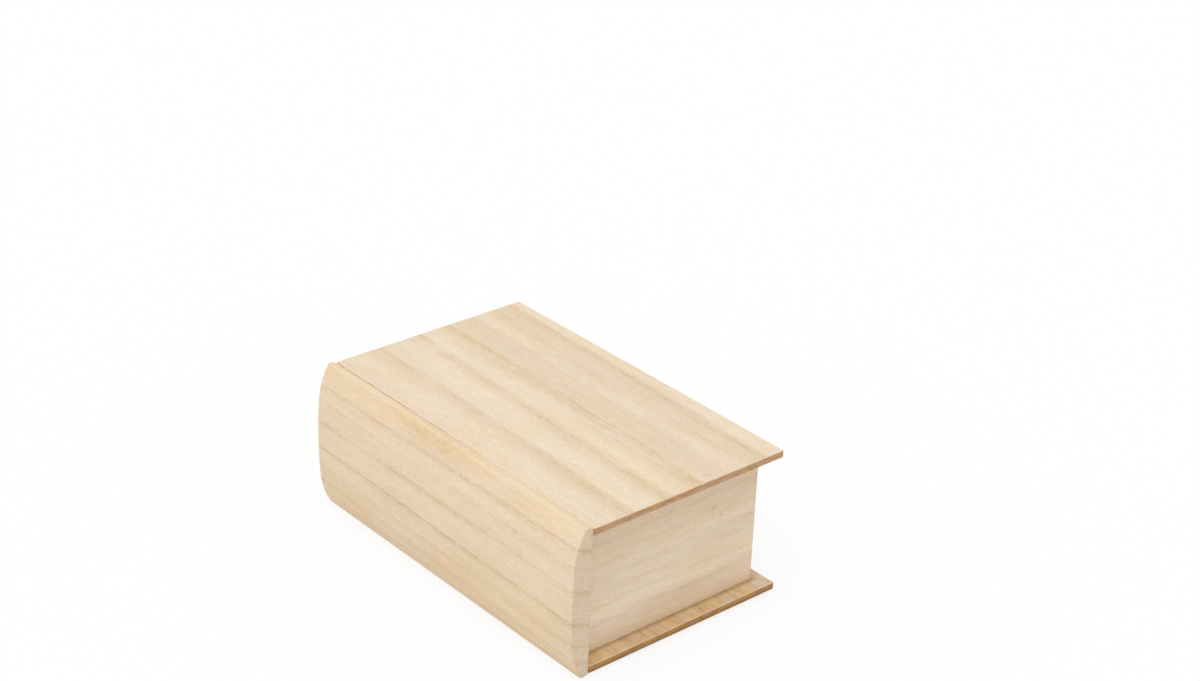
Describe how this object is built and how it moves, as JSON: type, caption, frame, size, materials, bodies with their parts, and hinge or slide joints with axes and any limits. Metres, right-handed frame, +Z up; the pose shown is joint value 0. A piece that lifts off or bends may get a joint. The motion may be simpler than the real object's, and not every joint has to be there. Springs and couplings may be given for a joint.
{
  "type": "book-shaped drawer box",
  "caption": "Small wooden keepsake box shaped like a closed book lying flat; its rounded spine is the front of a drawer that slides out between thin overhanging covers.",
  "frame": {"origin": "under the middle of the closed box, level with the lower lip of the spine", "axes": "+X along the spine to the right, +Y from the spine to the rear edges of the covers, +Z up"},
  "size_m": [0.155, 0.1, 0.062],
  "materials": {
    "cover_ply": "bare sanded three-ply plywood, pale cream faces with soft brown bands, tan edges with the plies showing",
    "panel_wood": "bare sanded light solid wood, pinkish beige with soft streaks",
    "spine_wood": "bare sanded light solid wood, warm cream with thin brown lines, greyer end grain",
    "drawer_wood": "bare sanded light solid wood, strongly streaked pink and brown",
    "drawer_ply": "bare thin plywood, orange brown edges"
  },
  "bodies": {
    "carcass": {"bottom_cover": "cover_ply", "top_cover": "cover_ply", "left_side_panel": "panel_wood", "right_side_panel": "panel_wood", "rear_panel": "panel_wood"},
    "drawer": {"drawer_front": "spine_wood", "drawer_left_side": "drawer_wood", "drawer_right_side": "drawer_wood", "drawer_back": "drawer_wood", "drawer_bottom": "drawer_ply"}
  },
  "joints": [
    {"name": "drawer_slide", "type": "slide", "parent": "carcass", "child": "drawer", "axis": [0, -1, 0], "range_m": [0, 0.06]}
  ]
}
